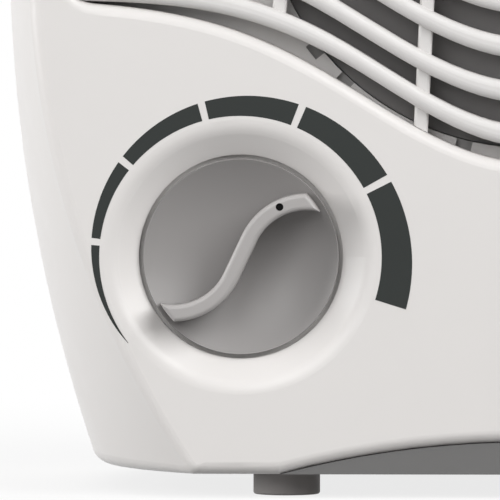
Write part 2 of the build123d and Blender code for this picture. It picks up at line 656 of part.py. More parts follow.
# ---- heating element -------------------------------------------------------------------------
PACK_HEIGHT = (HEATER_HEIGHT - STRIP_COUNT * STRIP_THICKNESS) / (STRIP_COUNT + 1)
ELEMENT_Y = HEATER_BACK_Y - (HEATER_FRAME_DEPTH + ELEMENT_DEPTH) / 2


def heater_frame():
    """Heat-proof disc in the duct, with a window for the element."""
    disc = Circle(BAFFLE_HOLE - HEATER_FRAME_CLEARANCE) - Rectangle(HEATER_WIDTH, HEATER_HEIGHT)
    return single(slab(Pos(0, FAN_Z) * disc, DUCT_FRONT_Y, HEATER_BACK_Y))


def layer(index, thickness, first):
    """Height of the middle of one layer of the element, counted from the bottom."""
    return FAN_Z - HEATER_HEIGHT / 2 + first + thickness / 2 + index * (PACK_HEIGHT + STRIP_THICKNESS)


def ceramic_strips():
    """Flat heating ceramics across the window."""
    bar = Rectangle(HEATER_WIDTH, STRIP_THICKNESS)
    heights = [layer(i, STRIP_THICKNESS, PACK_HEIGHT) for i in range(STRIP_COUNT)]
    return group(slab(Pos(0, z) * bar, ELEMENT_Y, ELEMENT_Y + ELEMENT_DEPTH) for z in heights)


def radiator_fins():
    """Fin packs between the ceramics: thin upright fins with a foil above and below."""
    cells = int(HEATER_WIDTH / FIN_PITCH)
    pitch = HEATER_WIDTH / cells
    cell = Rectangle(pitch - FIN_THICKNESS, PACK_HEIGHT - 2 * FIN_THICKNESS)
    pack = Rectangle(HEATER_WIDTH, PACK_HEIGHT) - GridLocations(pitch, 0, cells, 1) * cell
    heights = [layer(i, PACK_HEIGHT, 0) for i in range(STRIP_COUNT + 1)]
    return group(slab(Pos(0, z) * pack, ELEMENT_Y, ELEMENT_Y + ELEMENT_DEPTH) for z in heights)


def heater_terminals():
    """Blade terminals behind the outer ends of the ceramics."""
    tab = Rectangle(TERMINAL_WIDTH, TERMINAL_THICKNESS)
    start = ELEMENT_Y + ELEMENT_DEPTH
    places = [(side * (HEATER_WIDTH - TERMINAL_WIDTH) / 2, layer(i, STRIP_THICKNESS, PACK_HEIGHT))
              for i in (0, STRIP_COUNT - 1) for side in (-1, 1)]
    return group(slab(Pos(x, z) * tab, start, start + TERMINAL_LENGTH) for x, z in places)


def thermal_cutout():
    """Snap-disc cut-out on the back of the heater frame, with two tabs."""
    z = FAN_Z + SAFETY_OFFSET
    body = rod(CUTOUT_RADIUS, HEATER_BACK_Y, HEATER_BACK_Y + CUTOUT_HEIGHT * 2 / 3, 0, z)
    body += rod(CUTOUT_RADIUS * 0.7, HEATER_BACK_Y, HEATER_BACK_Y + CUTOUT_HEIGHT, 0, z)
    tabs = Rectangle(2 * CUTOUT_RADIUS + TERMINAL_WIDTH, TERMINAL_WIDTH / 2)
    return single(body + slab(Pos(0, z) * tabs, HEATER_BACK_Y, HEATER_BACK_Y + TERMINAL_THICKNESS))


def thermal_fuse():
    """One-shot fuse capsule lying on the back of the heater frame."""
    capsule = Rot(0, 90, 0) * Cylinder(FUSE_RADIUS, FUSE_LENGTH)
    leads = Rot(0, 90, 0) * Cylinder(FUSE_RADIUS / 3, 2 * FUSE_LENGTH)
    return single(Pos(0, HEATER_BACK_Y + FUSE_RADIUS, FAN_Z - SAFETY_OFFSET) * (capsule + leads))


# ---- fan and motor ---------------------------------------------------------------------------
def blade_section(radius, chord, pitch):
    """A cambered blade section at one radius, on a plane square to the blade."""
    half = chord / 2
    camber = chord / 9
    thin = BLADE_THICKNESS / 2
    suction = ThreePointArc((-half, 0), (0, camber + thin), (half, 0))
    pressure = ThreePointArc((-half, -thin), (0, camber - thin), (half, -thin))
    ends = [Line(suction @ 0, pressure @ 0), Line(suction @ 1, pressure @ 1)]
    across = (0, sin(radians(pitch)), cos(radians(pitch)))
    plane = Plane(origin=(radius, 0, 0), x_dir=across, z_dir=(1, 0, 0))
    return plane * make_face([suction, pressure, *ends])


def fan_impeller():
    """Axial impeller: a cup-shaped hub with a core on the shaft, and twisted blades."""
    tip = BAFFLE_HOLE - FAN_TIP_GAP
    middle_y = (FAN_FRONT_Y + FAN_BACK_Y) / 2
    hub = rod(FAN_HUB_RADIUS, FAN_FRONT_Y, FAN_BACK_Y, 0, FAN_Z)
    hub = fillet(hub.faces().sort_by(Axis.Y)[0].edges(), HUB_WALL * 0.9)
    hub -= tube(FAN_HUB_RADIUS - HUB_WALL, SHAFT_RADIUS + HUB_WALL, FAN_FRONT_Y + HUB_WALL,
                FAN_BACK_Y + OVERCUT, 0, FAN_Z)
    root = FAN_HUB_RADIUS - HUB_WALL / 2
    blade = loft([blade_section(root, ROOT_CHORD, ROOT_PITCH),
                  blade_section(tip * 1.05, TIP_CHORD, TIP_PITCH)])
    blade &= rod(tip, -FAN_LENGTH / 2, FAN_LENGTH / 2)
    for i in range(FAN_BLADES):
        hub += Pos(0, middle_y, FAN_Z) * Rot(0, 360 * i / FAN_BLADES, 0) * blade
    return single(hub - rod(SHAFT_RADIUS, FAN_FRONT_Y - OVERCUT, FAN_BACK_Y + OVERCUT, 0, FAN_Z))


def motor_mount():
    """Steel cross that carries the motor: four arms to the ears, two bolts to the motor."""
    seat = BEARING_RADIUS + BEARING_SEAT_WALL + SCREW_CLEARANCE
    cross = [ear(x, z, MOUNT_Y, POST_Y) for x, z in EAR_PLACES]
    cross.append(rod(seat + MOUNT_ARM / 2, MOUNT_Y, POST_Y, 0, FAN_Z))
    bar = SlotCenterToCenter(2 * MOTOR_BOLT_OFFSET, MOUNT_ARM)
    plate = slab(Pos(0, FAN_Z) * bar, MOUNT_Y, POST_Y).fuse(*cross)
    holes = screw_holes(EAR_PLACES, MOUNT_Y, POST_Y) + motor_bolt_holes(MOUNT_Y, POST_Y)
    return single(plate.cut(rod(seat, MOUNT_Y - OVERCUT, POST_Y + OVERCUT, 0, FAN_Z), *holes))


MOTOR_BOLTS = ((-MOTOR_BOLT_OFFSET, FAN_Z), (MOTOR_BOLT_OFFSET, FAN_Z))


def motor_bolt_holes(y_from, y_to):
    """Clearance holes for the two long motor bolts."""
    radius = MOTOR_BOLT_RADIUS + SCREW_CLEARANCE
    return [rod(radius, y_from - OVERCUT, y_to + OVERCUT, x, z) for x, z in MOTOR_BOLTS]


def motor_bracket(plate_y, outward):
    """Bearing bracket: a bar on the laminations with a seat that bulges outward."""
    plate = slab(Pos(0, FAN_Z) * SlotCenterToCenter(2 * MOTOR_BOLT_OFFSET, MOUNT_ARM),
                 plate_y, plate_y + BRACKET_THICKNESS)
    far = plate_y + outward * (BEARING_LENGTH - BRACKET_THICKNESS)
    seat_from = min(plate_y, far)
    seat_to = max(plate_y, far) + BRACKET_THICKNESS
    bracket = plate + rod(BEARING_RADIUS + BEARING_SEAT_WALL, seat_from, seat_to, 0, FAN_Z)
    bracket -= rod(BEARING_RADIUS, seat_from - OVERCUT, seat_to + OVERCUT, 0, FAN_Z)
    return single(bracket.cut(*motor_bolt_holes(plate_y, plate_y + BRACKET_THICKNESS)))


def bearing(plate_y, outward):
    """Sintered bush in a bracket's seat."""
    far = plate_y + outward * (BEARING_LENGTH - BRACKET_THICKNESS)
    return single(tube(BEARING_RADIUS, SHAFT_RADIUS + SHAFT_CLEARANCE, min(plate_y, far),
                       max(plate_y, far) + BRACKET_THICKNESS, 0, FAN_Z))


def motor_stator():
    """Laminated core: a bore for the rotor above, a window and a limb for the coil below."""
    height = STATOR_ABOVE + STATOR_BELOW
    core = Pos(0, (STATOR_ABOVE - STATOR_BELOW) / 2) * Rectangle(STATOR_WIDTH, height)
    core -= Circle(ROTOR_RADIUS + ROTOR_GAP)
    core -= Pos(0, -COIL_WINDOW_TOP - COIL_WINDOW_HEIGHT / 2) * Rectangle(
        COIL_LENGTH, COIL_WINDOW_HEIGHT)
    solid = slab(Pos(0, FAN_Z) * core, STATOR_Y, STATOR_BACK_Y)
    return single(solid.cut(*motor_bolt_holes(STATOR_Y, STATOR_BACK_Y)))


def motor_coil():
    """Winding round the lower limb of the core, with the window's floor as its top."""
    limb_top = FAN_Z - COIL_WINDOW_TOP - COIL_WINDOW_HEIGHT
    limb_bottom = FAN_Z - STATOR_BELOW
    limb = (STATOR_DEPTH, limb_top - limb_bottom)
    middle = Pos(0, (STATOR_Y + STATOR_BACK_Y) / 2, (limb_top + limb_bottom) / 2)
    winding = Box(COIL_LENGTH - COIL_SPARE, limb[0] + 2 * COIL_BUILD, limb[1] + 2 * COIL_BUILD)
    winding = fillet(winding.edges().filter_by(Axis.X), COIL_BUILD / 2)
    return single(middle * (winding - Box(COIL_LENGTH, limb[0], limb[1])))


def motor_bolts():
    """Two long bolts from the back of the motor to the mount, with nuts in front."""
    back = STATOR_BACK_Y + BRACKET_THICKNESS
    bolts = []
    for x, z in MOTOR_BOLTS:
        bolt = screw(MOTOR_BOLT_RADIUS, SCREW_HEAD_RADIUS, back, MOUNT_Y - 2 * SCREW_HEAD_HEIGHT, x, z)
        nut = slab(Pos(x, z) * RegularPolygon(SCREW_HEAD_RADIUS, 6), MOUNT_Y - SCREW_HEAD_HEIGHT, MOUNT_Y)
        bolts.append(bolt + nut)
    return group(bolts)


def fan_shaft():
    """Steel shaft through the impeller, both bearings and the rotor."""
    back = STATOR_BACK_Y + BEARING_LENGTH + SHAFT_END
    return single(rod(SHAFT_RADIUS, FAN_FRONT_Y - SHAFT_END, back, 0, FAN_Z))


def motor_rotor_core():
    """Squirrel-cage rotor on the shaft, inside the laminations."""
    return single(tube(ROTOR_RADIUS, SHAFT_RADIUS, STATOR_Y, STATOR_BACK_Y, 0, FAN_Z))


def duct_screws():
    """Screws through the duct's ears and the motor mount into the rear shell's posts."""
    head_y = MOUNT_Y - EAR_THICKNESS
    tip_y = POST_Y + SCREW_BITE
    return group(screw(SCREW_RADIUS, SCREW_HEAD_RADIUS, head_y, tip_y, x, z) for x, z in EAR_PLACES)


# ---- controls --------------------------------------------------------------------------------
def knob(x, pointer):
    """Round knob with a hollowed face, an S-shaped grip and a hub, its dot at the pointer angle."""
    hub = SPINDLE_RADIUS + KNOB_HUB_WALL
    skirt = KNOB_RADIUS - KNOB_STEP
    flange_y = KNOB_RIM_Y + KNOB_FLANGE
    skirt_y = KNOB_RIM_Y + KNOB_SKIRT
    plate_y = BOWL_Y + KNOB_PLATE
    inside = skirt - KNOB_PLATE
    bowl_edge = KNOB_RADIUS - KNOB_RIM
    bowl_radius = (bowl_edge**2 + BOWL_DEPTH**2) / (2 * BOWL_DEPTH)
    middle_x = bowl_edge / 2
    middle_y = BOWL_Y - bowl_radius + sqrt(bowl_radius**2 - middle_x**2)
    outline = [
        ThreePointArc((0, BOWL_Y), (middle_x, middle_y), (bowl_edge, KNOB_RIM_Y)),
        Polyline((bowl_edge, KNOB_RIM_Y), (KNOB_RADIUS, KNOB_RIM_Y + KNOB_RIM), (KNOB_RADIUS, flange_y),
                 (skirt, flange_y), (skirt, skirt_y), (inside, skirt_y), (inside, plate_y),
                 (hub, plate_y), (hub, HUB_BACK_Y), (0, HUB_BACK_Y), (0, BOWL_Y)),
    ]
    body = turned(outline) + grip_bar()
    angle = radians(POINTER_ANGLE)
    dot = POINTER_DISTANCE * cos(angle), POINTER_DISTANCE * sin(angle)
    body -= rod(POINTER_RADIUS, GRIP_Y - OVERCUT, GRIP_Y + POINTER_DEPTH, *dot)
    body -= rod(SPINDLE_RADIUS, BOWL_Y + KNOB_PLATE / 2, HUB_BACK_Y + OVERCUT)
    return single(Pos(x, 0, KNOB_Z) * Rot(0, POINTER_ANGLE - pointer, 0) * body)


def grip_bar():
    """The S-shaped grip: a straight run with a bend at each end, trimmed to a circle."""
    heading = Vector(cos(radians(GRIP_ANGLE)), sin(radians(GRIP_ANGLE)))
    run_end = heading * (GRIP_RUN / 2)
    path = [
        Line(-run_end, run_end),
        JernArc(start=run_end, tangent=heading, radius=GRIP_BEND, arc_size=-GRIP_TURN),
        JernArc(start=-run_end, tangent=-heading, radius=GRIP_BEND, arc_size=-GRIP_TURN),
    ]
    height = HANDLE_PROUD + KNOB_SETBACK + BOWL_DEPTH + KNOB_PLATE / 2
    bar = slab(trace(path, GRIP_BAR), 0, height) & rod(GRIP_TRIM, -OVERCUT, height + OVERCUT)
    return Pos(0, GRIP_Y, 0) * fillet(bar.faces().sort_by(Axis.Y)[0].edges(), GRIP_ROUND)


def spindle(x):
    """Control spindle, held in the knob's hub."""
    start = BOWL_Y + KNOB_PLATE / 2
    return single(rod(SPINDLE_RADIUS, start, start + SPINDLE_LENGTH, x, KNOB_Z))


def control_bush(x):
    """Brass collar in front of the control's plate that guides the spindle."""
    bore = SPINDLE_RADIUS + SPINDLE_CLEARANCE
    return single(tube(bore + BUSH_WALL, bore, CONTROL_PLATE_Y - BUSH_LENGTH, CONTROL_PLATE_Y, x, KNOB_Z))


def control_plate(x):
    """Steel plate across two posts that carries the thermostat or the switch."""
    bore = SPINDLE_RADIUS + SPINDLE_CLEARANCE
    width = 2 * (CONTROL_POST_OFFSET + POST_RADIUS)
    plate = Pos(x, KNOB_Z) * RectangleRounded(width, CONTROL_PLATE_HEIGHT, POST_RADIUS)
    back = CONTROL_PLATE_Y + CONTROL_PLATE
    solid = slab(plate, CONTROL_PLATE_Y, back)
    places = [(x - CONTROL_POST_OFFSET, KNOB_Z), (x + CONTROL_POST_OFFSET, KNOB_Z)]
    holes = screw_holes(places, CONTROL_PLATE_Y, back)
    return single(solid.cut(rod(bore, CONTROL_PLATE_Y - OVERCUT, back + OVERCUT, x, KNOB_Z), *holes))


def control_body(x, sketch, depth):
    """The block behind a control's plate, bored for the spindle."""
    start = CONTROL_PLATE_Y + CONTROL_PLATE
    bored = sketch - Circle(SPINDLE_RADIUS + SPINDLE_CLEARANCE)
    return single(slab(Pos(x, KNOB_Z) * bored, start, start + depth))


def bimetal_blade():
    """Bimetal strip on top of the thermostat."""
    top = KNOB_Z + THERMOSTAT_SIZE[1] / 2
    start = CONTROL_PLATE_Y + CONTROL_PLATE + THERMOSTAT_DEPTH / 2
    strip = Pos(-KNOB_OFFSET, top + BIMETAL_THICKNESS / 2) * Rectangle(BIMETAL_SIZE[0], BIMETAL_THICKNESS)
    return single(slab(strip, start - BIMETAL_SIZE[1] / 2, start + BIMETAL_SIZE[1] / 2))


def mode_switch_terminals():
    """Blade terminals on the back of the mode switch."""
    start = CONTROL_PLATE_Y + CONTROL_PLATE + SWITCH_DEPTH
    tabs = []
    for i in range(SWITCH_TERMINALS):
        turn = Rot(0, 0, 360 * (i + 0.5) / SWITCH_TERMINALS)
        tab = turn * Pos(SWITCH_TERMINAL_CIRCLE, 0) * Rectangle(TERMINAL_THICKNESS, BLADE_WIDTH)
        tabs.append(slab(Pos(KNOB_OFFSET, KNOB_Z) * tab, start, start + TERMINAL_LENGTH))
    return group(tabs)


def bracket_screws():
    """Screws that hold the control plates to the front shell's posts."""
    head_y = CONTROL_PLATE_Y + CONTROL_PLATE
    tip_y = CONTROL_PLATE_Y - CONTROL_POST_LENGTH + SCREW_TIP_SPARE
    return group(screw(SCREW_RADIUS, SCREW_HEAD_RADIUS, head_y, tip_y, x, z) for x, z in CONTROL_POSTS)


def indicator_lens():
    """Domed lens of the pilot light, with a flange behind the front wall."""
    flange_y = FRONT_Y + WALL
    sagitta = LAMP_PROUD
    dome = (LAMP_RADIUS**2 + sagitta**2) / (2 * sagitta)
    middle = LAMP_RADIUS / 2
    middle_y = FRONT_Y - sagitta + dome - sqrt(dome**2 - middle**2)
    back = flange_y + LAMP_FLANGE
    rim = LAMP_RADIUS + LAMP_FLANGE
    outline = [
        ThreePointArc((0, FRONT_Y - sagitta), (middle, middle_y), (LAMP_RADIUS, FRONT_Y)),
        Polyline((LAMP_RADIUS, FRONT_Y), (LAMP_RADIUS, flange_y), (rim, flange_y), (rim, back),
                 (NEON_RADIUS, back), (NEON_RADIUS, FRONT_Y + LAMP_FACE), (0, FRONT_Y + LAMP_FACE),
                 (0, FRONT_Y - sagitta)),
    ]
    return single(turned(outline, 0, LAMP_Z))


def neon_lamp():
    """Glass neon lamp in the lens."""
    start = FRONT_Y + LAMP_FACE
    bulb = rod(NEON_RADIUS, start, start + NEON_LENGTH, 0, LAMP_Z)
    return single(fillet(bulb.faces().sort_by(Axis.Y)[-1].edges(), NEON_RADIUS / 2))


# ---- base and mains entry --------------------------------------------------------------------
def foot(x, y):
    """Rubber foot with a barbed stem through the base."""
    pad = Pos(0, 0, FOOT_HEIGHT / 2) * Cylinder(FOOT_RADIUS, FOOT_HEIGHT)
    pad = fillet(pad.faces().sort_by(Axis.Z)[0].edges(), FOOT_EDGE)
    stem = Pos(0, 0, BASE_Z + WALL / 2) * Cylinder(FOOT_STEM, WALL)
    barb = Pos(0, 0, INSIDE_BASE_Z + WALL / 2) * Cone(FOOT_STEM + FOOT_BARB, FOOT_STEM, WALL)
    return single(Pos(x, y, 0) * (pad + stem + barb))


def tip_plunger():
    """Plunger that the ground pushes up, with a flange for the spring and a guide stem."""
    flange_z = INSIDE_BASE_Z + PLUNGER_TRAVEL + PLUNGER_SPARE
    stem_z = INSIDE_BASE_Z + TIP_SWITCH_SIZE[2] + PLUNGER_SPARE
    pin = Pos(0, 0, flange_z / 2) * Cylinder(PLUNGER_RADIUS, flange_z)
    pin = fillet(pin.faces().sort_by(Axis.Z)[0].edges(), PLUNGER_RADIUS / 4)
    disc = Pos(0, 0, flange_z + PLUNGER_DISC / 2) * Cylinder(PLUNGER_FLANGE, PLUNGER_DISC)
    stem = Pos(0, 0, (flange_z + stem_z) / 2) * Cylinder(PLUNGER_STEM, stem_z - flange_z)
    return single(Pos(0, PLUNGER_Y, 0) * (pin + disc + stem))


def tip_spring():
    """Coil spring between the plunger's flange and the roof of its switch."""
    start = INSIDE_BASE_Z + PLUNGER_TRAVEL + PLUNGER_SPARE + PLUNGER_DISC + SPRING_WIRE
    end = INSIDE_BASE_Z + TIP_SWITCH_SIZE[2] - TIP_SWITCH_ROOF - SPRING_WIRE
    coil = Helix(pitch=(end - start) / SPRING_TURNS, height=end - start, radius=SPRING_RADIUS)
    section_plane = Plane(origin=coil @ 0, z_dir=coil % 0)
    wire = sweep(section_plane * Circle(SPRING_WIRE), path=coil)
    return single(Pos(0, PLUNGER_Y, start) * wire)


def tip_switch_body():
    """Switch housing on the base, hollow for the plunger and its spring."""
    width, depth, height = TIP_SWITCH_SIZE
    block = Pos(0, 0, height / 2) * Box(width, depth, height)
    bore = height - TIP_SWITCH_ROOF
    block -= Pos(0, 0, bore / 2) * Cylinder(TIP_SWITCH_BORE, bore)
    block -= Pos(0, 0, height) * Cylinder(PLUNGER_STEM + PLUNGER_CLEARANCE, 4 * TIP_SWITCH_ROOF)
    return single(Pos(0, PLUNGER_Y, INSIDE_BASE_Z) * block)


def cord_gland():
    """Flanged bush through the rear wall for the supply cord."""
    barrel_radius = GLAND_BORE + GLAND_WALL
    rear = OVERALL_DEPTH / 2
    bush = rod(barrel_radius, rear - GLAND_LENGTH, rear, GLAND_X, GLAND_Z)
    flange = rod(barrel_radius + GLAND_FLANGE, REAR_Y, rear, GLAND_X, GLAND_Z)
    bush += fillet(flange.faces().sort_by(Axis.Y)[-1].edges(), INLET_PROUD / 2)
    return single(bush - rod(GLAND_BORE, rear - GLAND_LENGTH - OVERCUT, rear + OVERCUT, GLAND_X, GLAND_Z))


def gland_nut():
    """Hexagonal nut that clamps the gland from inside."""
    barrel_radius = GLAND_BORE + GLAND_WALL
    nut = RegularPolygon(barrel_radius + GLAND_FLANGE, 6) - Circle(barrel_radius)
    inside = REAR_Y - WALL
    return single(slab(Pos(GLAND_X, GLAND_Z) * nut, inside - GLAND_NUT_LENGTH, inside))


def terminal_block():
    """Terminal block on the base, with a screw well over each way."""
    width, depth, height = TERMINAL_BLOCK_SIZE
    block = Pos(0, 0, height / 2) * Box(width, depth, height)
    for place in GridLocations(width / TERMINAL_WAYS, 0, TERMINAL_WAYS, 1):
        block -= Pos(0, 0, height) * place * Cylinder(SCREW_HEAD_RADIUS, height)
    return single(Pos(TERMINAL_BLOCK_X, TERMINAL_BLOCK_Y, INSIDE_BASE_Z) * block)


def terminal_screws():
    """Clamp screws in the terminal block's wells."""
    width, depth, height = TERMINAL_BLOCK_SIZE
    top = Pos(TERMINAL_BLOCK_X, TERMINAL_BLOCK_Y, INSIDE_BASE_Z + height * 0.65)
    pin = Cylinder(SCREW_HEAD_RADIUS, height * 0.3) - Pos(0, 0, height * 0.15) * Box(
        2 * SCREW_HEAD_RADIUS, SCREW_HEAD_RADIUS / 3, SCREW_HEAD_RADIUS / 2)
    return group(top * place * pin for place in GridLocations(width / TERMINAL_WAYS, 0, TERMINAL_WAYS, 1))


def housing_screws():
    """Screws from the wells in the rear shell into the front shell's bosses."""
    head_y = PARTING_Y + PARTING_GAP / 2 + HOUSING_SEAT
    tip_y = head_y - HOUSING_SCREW_LENGTH
    return group(screw(HOUSING_SCREW_RADIUS, HOUSING_HEAD_RADIUS, head_y, tip_y, x, z)
                 for x, z in SCREW_PLACES)


# ---- the heater ------------------------------------------------------------------------------
def build():
    """Every piece, by the name of its node."""
    left, right = -KNOB_OFFSET, KNOB_OFFSET
    front_bracket_y, rear_bracket_y = POST_Y, STATOR_BACK_Y
    pieces = {
        "front_shell": front_shell(),
        "rear_shell": rear_shell(),
        "chin_panel": chin_panel(),
        "outlet_grille": outlet_grille(),
        "inlet_grille": inlet_grille(),
        "housing_screws": housing_screws(),
        "baffle_plate": baffle_plate(),
        "air_duct": air_duct(),
        "duct_screws": duct_screws(),
        "heater_frame": heater_frame(),
        "ceramic_strips": ceramic_strips(),
        "radiator_fins": radiator_fins(),
        "heater_terminals": heater_terminals(),
        "thermal_cutout": thermal_cutout(),
        "thermal_fuse": thermal_fuse(),
        "fan_impeller": fan_impeller(),
        "fan_shaft": fan_shaft(),
        "motor_mount": motor_mount(),
        "motor_bracket_front": motor_bracket(front_bracket_y, -1),
        "motor_bracket_rear": motor_bracket(rear_bracket_y, 1),
        "bearing_front": bearing(front_bracket_y, -1),
        "bearing_rear": bearing(rear_bracket_y, 1),
        "motor_stator": motor_stator(),
        "motor_coil": motor_coil(),
        "motor_rotor_core": motor_rotor_core(),
        "motor_bolts": motor_bolts(),
        "thermostat_knob": knob(left, POINTER_ANGLE),
        "thermostat_shaft": spindle(left),
        "thermostat_bush": control_bush(left),
        "thermostat_bracket": control_plate(left),
        "thermostat_body": control_body(left, Rectangle(*THERMOSTAT_SIZE), THERMOSTAT_DEPTH),
        "bimetal_blade": bimetal_blade(),
        "mode_knob": knob(right, MODE_POINTER_ANGLE),
        "mode_shaft": spindle(right),
        "mode_switch_bush": control_bush(right),
        "mode_switch_bracket": control_plate(right),
        "mode_switch_body": control_body(right, Circle(SWITCH_RADIUS), SWITCH_DEPTH),
        "mode_switch_terminals": mode_switch_terminals(),
        "bracket_screws": bracket_screws(),
        "indicator_lens": indicator_lens(),
        "neon_lamp": neon_lamp(),
        "tip_plunger": tip_plunger(),
        "tip_spring": tip_spring(),
        "tip_switch_body": tip_switch_body(),
        "cord_gland": cord_gland(),
        "gland_nut": gland_nut(),
        "terminal_block": terminal_block(),
        "terminal_screws": terminal_screws(),
        "foot_front_left": foot(*FRONT_FEET[0]),
        "foot_front_right": foot(*FRONT_FEET[1]),
        "foot_rear_left": foot(*REAR_FEET[0]),
        "foot_rear_right": foot(*REAR_FEET[1]),
    }
    return pieces


os.makedirs("parts", exist_ok=True)
for name, piece in build().items():
    export_step(piece, f"parts/{name}.step")
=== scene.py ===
"""Looks, light and camera for the ceramic fan heater. Metres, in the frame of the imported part.

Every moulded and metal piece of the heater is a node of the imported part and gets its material
here. The scene adds what is printed on the heater: the heat scale round the thermostat knob, the
marks round the mode knob and the paint in the two pointer dots.
"""
import bmesh
import bpy
import json
from math import cos, radians, sin
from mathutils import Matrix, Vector
from mathutils.bvhtree import BVHTree

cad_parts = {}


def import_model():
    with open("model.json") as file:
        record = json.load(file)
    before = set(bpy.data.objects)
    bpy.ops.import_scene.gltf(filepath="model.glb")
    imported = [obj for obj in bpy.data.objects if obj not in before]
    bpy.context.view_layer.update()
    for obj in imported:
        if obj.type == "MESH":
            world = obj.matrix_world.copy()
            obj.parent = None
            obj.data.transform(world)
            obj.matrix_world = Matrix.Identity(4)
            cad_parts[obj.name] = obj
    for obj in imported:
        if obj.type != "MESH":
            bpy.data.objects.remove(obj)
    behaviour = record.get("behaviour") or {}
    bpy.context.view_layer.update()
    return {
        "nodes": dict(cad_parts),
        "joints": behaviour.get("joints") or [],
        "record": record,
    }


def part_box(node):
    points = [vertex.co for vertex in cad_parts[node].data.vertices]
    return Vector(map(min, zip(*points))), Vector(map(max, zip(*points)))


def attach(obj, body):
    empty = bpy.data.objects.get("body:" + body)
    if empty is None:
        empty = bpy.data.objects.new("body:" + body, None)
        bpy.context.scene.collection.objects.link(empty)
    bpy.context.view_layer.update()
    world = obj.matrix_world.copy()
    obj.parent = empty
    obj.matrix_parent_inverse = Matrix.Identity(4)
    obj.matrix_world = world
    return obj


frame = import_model()
MM = 0.001
FRONT_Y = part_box("front_shell")[0].y
JOINTS = {joint["name"]: joint for joint in frame["joints"]}
THERMOSTAT = Vector(JOINTS["thermostat_turn"]["pos_m"])
MODE = Vector(JOINTS["mode_turn"]["pos_m"])

# ---- camera and light --------------------------------------------------------------------------
CAMERA_DISTANCE = 2.0          # from the front face
CAMERA_HEIGHT = 0.122          # above the floor
FRAME_WIDTH = 0.104            # width of the picture at the front face
FRAME_OFFSET = Vector((2.0, 0, 1.5)) * MM   # middle of the picture, from the thermostat's axis
SENSOR = 36.0
CLIP_NEAR, CLIP_FAR = 0.1, 60  # the far one lies beyond the edge of the floor
LIGHT_TARGET = (0, 0, 0.11)
LIGHTS = (                     # name, place, size, power
    ("key", (1.43, -1.33, 1.33), 1.7, 42),
    ("left", (-2.24, -0.40, 0.43), 1.3, 41),
    ("fill", (-0.71, -1.96, 1.08), 1.3, 15),
    ("rear", (0.60, 2.00, 1.30), 1.3, 25),
)


def aimed(data, place, target):
    """An object at a place whose -Z looks at the target."""
    made = bpy.data.objects.new(data.name, data)
    made.location = place
    made.rotation_euler = (Vector(target) - Vector(place)).to_track_quat("-Z", "Y").to_euler()
    bpy.context.scene.collection.objects.link(made)
    return made


def camera():
    """A long lens in front of the heater, aimed at the lower left of it."""
    target = Vector((THERMOSTAT.x, FRONT_Y, THERMOSTAT.z)) + FRAME_OFFSET
    place = Vector((0, FRONT_Y - CAMERA_DISTANCE, CAMERA_HEIGHT))
    data = bpy.data.cameras.new("camera")
    data.sensor_width = SENSOR
    data.lens = SENSOR * (target - place).length / FRAME_WIDTH
    data.clip_start, data.clip_end = CLIP_NEAR, CLIP_FAR
    bpy.context.scene.camera = aimed(data, place, target)


def softbox(name, place, size, power):
    """A square area light."""
    data = bpy.data.lights.new(name, "AREA")
    data.shape, data.size, data.energy = "SQUARE", size, power
    aimed(data, place, LIGHT_TARGET)


# ---- node helpers ------------------------------------------------------------------------------
MIX_COLOUR_INPUTS = (0, 6, 7)  # a Mix node's factor and its two colours
MIX_COLOUR_OUTPUT = 2


class Nodes:
    """A node tree that is emptied and then written node by node."""

    def __init__(self, tree):
        self.tree = tree
        tree.nodes.clear()

    def feed(self, socket, value):
        """Gives an input a value, or links another node's output to it."""
        if isinstance(value, bpy.types.NodeSocket):
            self.tree.links.new(value, socket)
        else:
            socket.default_value = value

    def add(self, kind, settings=None, **inputs):
        """One node. Inputs are values, or outputs of other nodes.

        "_" stands for a space in the name of an input.
        """
        node = self.tree.nodes.new(kind)
        for key, value in (settings or {}).items():
            setattr(node, key, value)
        for key, value in inputs.items():
            self.feed(node.inputs[key.replace("_", " ")], value)
        return node

    def noise(self, where, size, detail=3.0, roughness=0.55):
        """Noise with features of about that size, from 0 to 1, mostly between 0.3 and 0.7."""
        node = self.add("ShaderNodeTexNoise", Vector=where, Scale=1 / size, Detail=detail,
                        Roughness=roughness)
        return node.outputs["Fac"]

    def spread(self, value, low, high, start=0.3, end=0.7):
        """A value between start and end, carried to the range from low to high."""
        node = self.add("ShaderNodeMapRange", Value=value, From_Min=start, From_Max=end, To_Min=low,
                        To_Max=high)
        return node.outputs["Result"]

    def blend(self, factor, a, b):
        """A colour between a and b."""
        node = self.add("ShaderNodeMix", {"data_type": "RGBA"})
        for index, value in zip(MIX_COLOUR_INPUTS, (factor, a, b)):
            self.feed(node.inputs[index], value)
        return node.outputs[MIX_COLOUR_OUTPUT]

    def math(self, operation, a, b):
        """Arithmetic on two values."""
        node = self.add("ShaderNodeMath", {"operation": operation})
        for socket, value in zip(node.inputs, (a, b)):
            self.feed(socket, value)
        return node.outputs[0]

    def show(self, kind, surface):
        """The output node, with the surface that it shows."""
        self.feed(self.add(kind).inputs["Surface"], surface)


def shade(colour, factor):
    """A colour as RGBA, with its brightness scaled."""
    return (*(channel * factor for channel in colour), 1.0)


# ---- materials ---------------------------------------------------------------------------------
PAINTED_LIGHT_BLEND = 0.5 * MM        # half of the depth over which the surface in front is painted lighter, as painted light
DRIFT_SIZE = 0.03              # the colour drifts over about this length
DUST_AND_SHADE_REACH = 0.003             # dust and painted shade lie this far out of a corner
DUST_AND_SHADE_SIZE = 0.004              # their patches are about this large
DUST_AND_SHADE_THIN = 0.6                # the thinnest of it, as a share of the thickest
DUST_AND_SHADE_BRIGHTNESS = 0.55              # its brightness, as a share of the surface's
DUSTY_AND_SHADED, CLEAN_AND_UNSHADED = 0.25, 0.8       # how open a corner full of dust and painted shade is, and a place without any
CORNER_SAMPLES = 4
SMEAR_SIZE = 0.012             # the gloss changes over about this length


